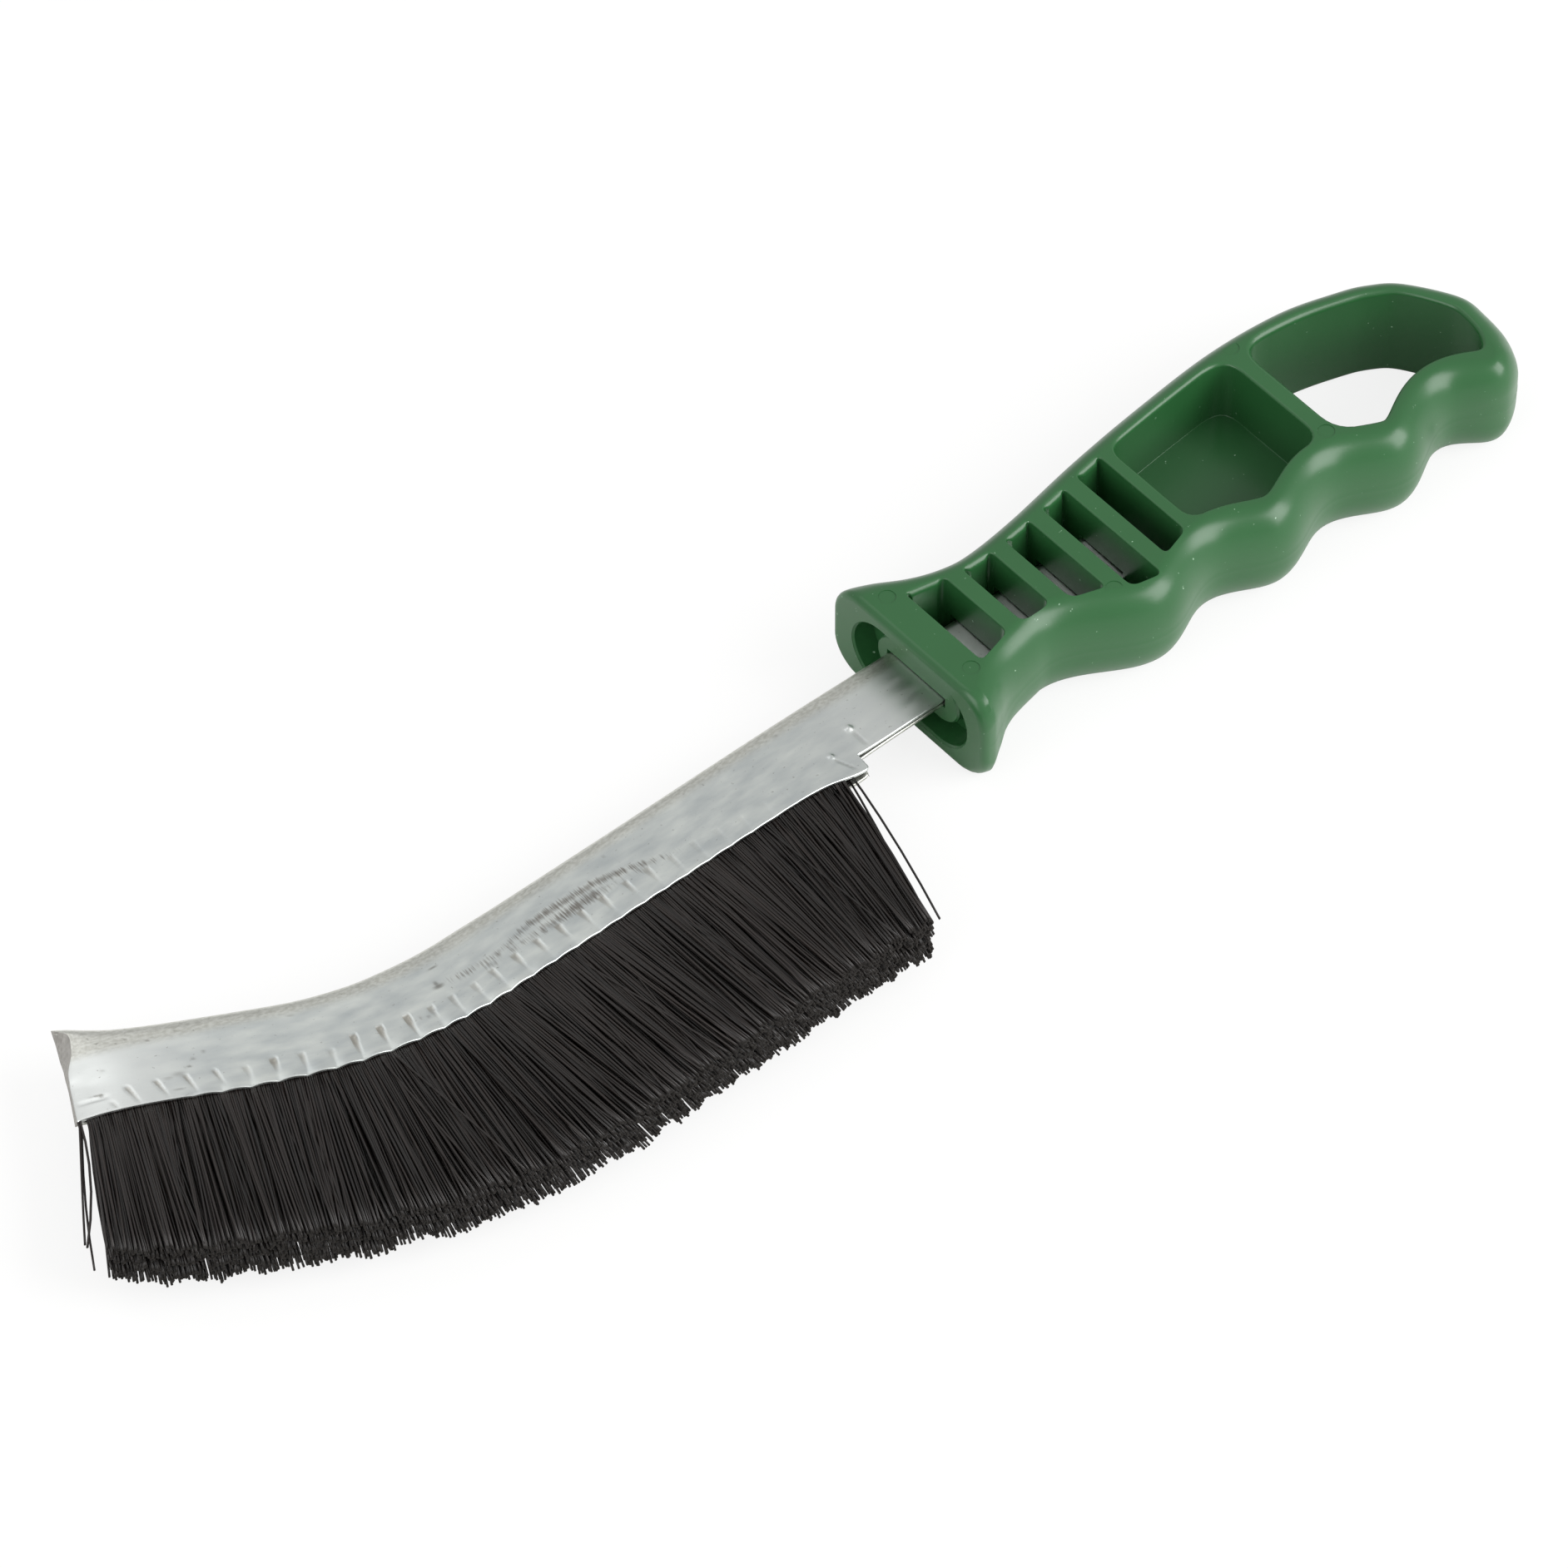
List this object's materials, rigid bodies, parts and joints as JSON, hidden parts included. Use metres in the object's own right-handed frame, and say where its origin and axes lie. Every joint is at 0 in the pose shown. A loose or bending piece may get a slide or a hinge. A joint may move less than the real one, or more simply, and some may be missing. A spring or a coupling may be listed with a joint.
{
  "type": "nylon wire brush",
  "caption": "Nylon wire brush: a pierced plastic handle with finger grooves, a bent folded steel channel, and a long row of stiff black filaments clamped in it.",
  "frame": {"origin": "on the handle's lower side face, under the tool's axis, in the middle of the bridge between the front face and the first window", "axes": "+X along the tool's axis to the butt of the handle, +Y to the back of the tool and away from the filaments, +Z through its thickness, up from the side it lies on"},
  "size_m": [0.2773, 0.0717, 0.0185],
  "materials": {
    "green_plastic": "moulded, semi-gloss",
    "zinc_plated_steel": "pressed sheet, dull bright, marked by the press",
    "steel_wire": "drawn",
    "black_nylon": "extruded filament, slightly shiny"
  },
  "bodies": {
    "root": {"handle": "green_plastic", "steel_channel": "zinc_plated_steel", "core_wire": "steel_wire", "filament_section_01": "black_nylon", "filament_section_02": "black_nylon", "filament_section_03": "black_nylon", "filament_section_04": "black_nylon", "filament_section_05": "black_nylon", "filament_section_06": "black_nylon", "filament_section_07": "black_nylon", "filament_section_08": "black_nylon", "filament_section_09": "black_nylon", "filament_section_10": "black_nylon", "filament_section_11": "black_nylon", "filament_section_12": "black_nylon", "filament_section_13": "black_nylon", "filament_section_14": "black_nylon", "filament_section_15": "black_nylon", "filament_section_16": "black_nylon"}
  },
  "joints": []
}
